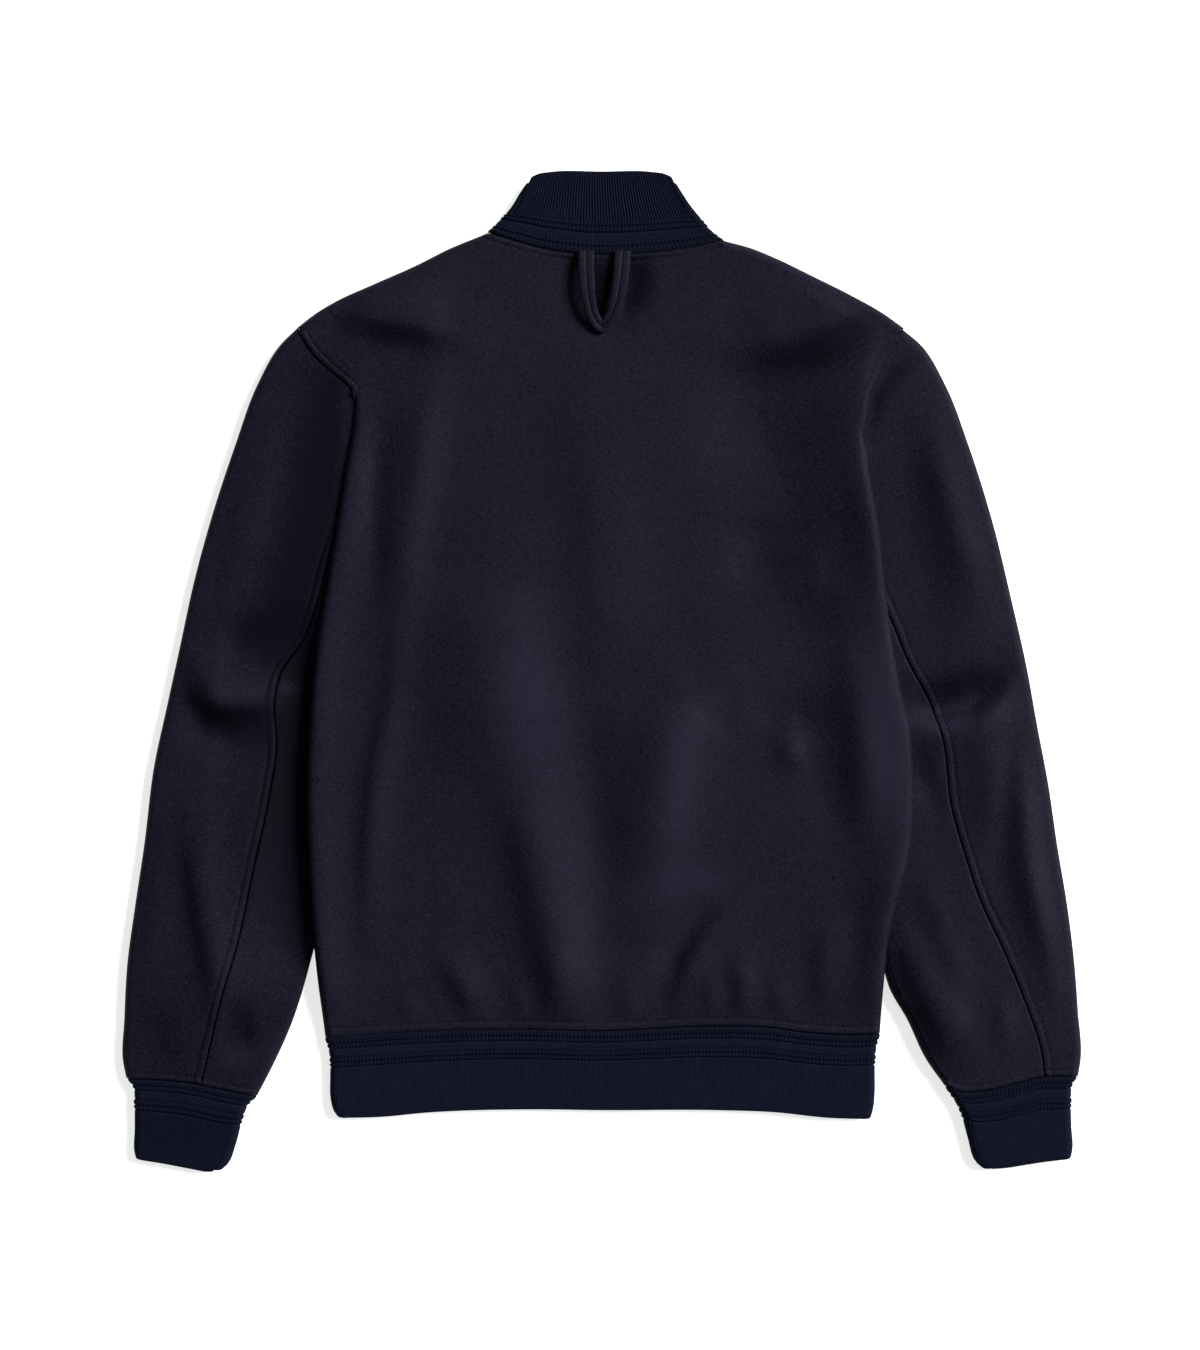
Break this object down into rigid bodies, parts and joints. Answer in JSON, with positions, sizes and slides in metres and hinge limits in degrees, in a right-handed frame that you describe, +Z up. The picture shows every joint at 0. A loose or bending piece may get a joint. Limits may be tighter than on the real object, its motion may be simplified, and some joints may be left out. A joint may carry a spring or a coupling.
{
  "type": "bomber jacket",
  "caption": "Bomber jacket in wool melton with ribbed knit stand collar, cuffs and waistband and a hanger loop, laid flat on its front.",
  "frame": {"origin": "middle of the garment's outline, on the surface it lies on", "axes": "+Z up from the surface out of the garment's back, +Y from the waistband to the collar, +X to the side of the sleeve that the wearer's right arm goes in"},
  "size_m": [0.738, 0.773, 0.0217],
  "materials": {
    "melton": "matt navy wool melton with a short nap",
    "rib_knit": "matt dark navy rib knit",
    "stud": "dark painted press stud caps"
  },
  "bodies": {
    "root": {"back": "melton", "front_left": "melton", "front_right": "melton", "sleeve_left_upper": "melton", "sleeve_left_under": "melton", "sleeve_right_upper": "melton", "sleeve_right_under": "melton", "hanger_loop": "melton", "collar": "rib_knit", "cuff_left": "rib_knit", "cuff_right": "rib_knit", "waistband": "rib_knit", "stud_cap_1": "stud", "stud_cap_2": "stud", "stud_cap_3": "stud", "stud_cap_4": "stud", "stud_cap_5": "stud", "stud_cap_6": "stud"}
  },
  "joints": []
}
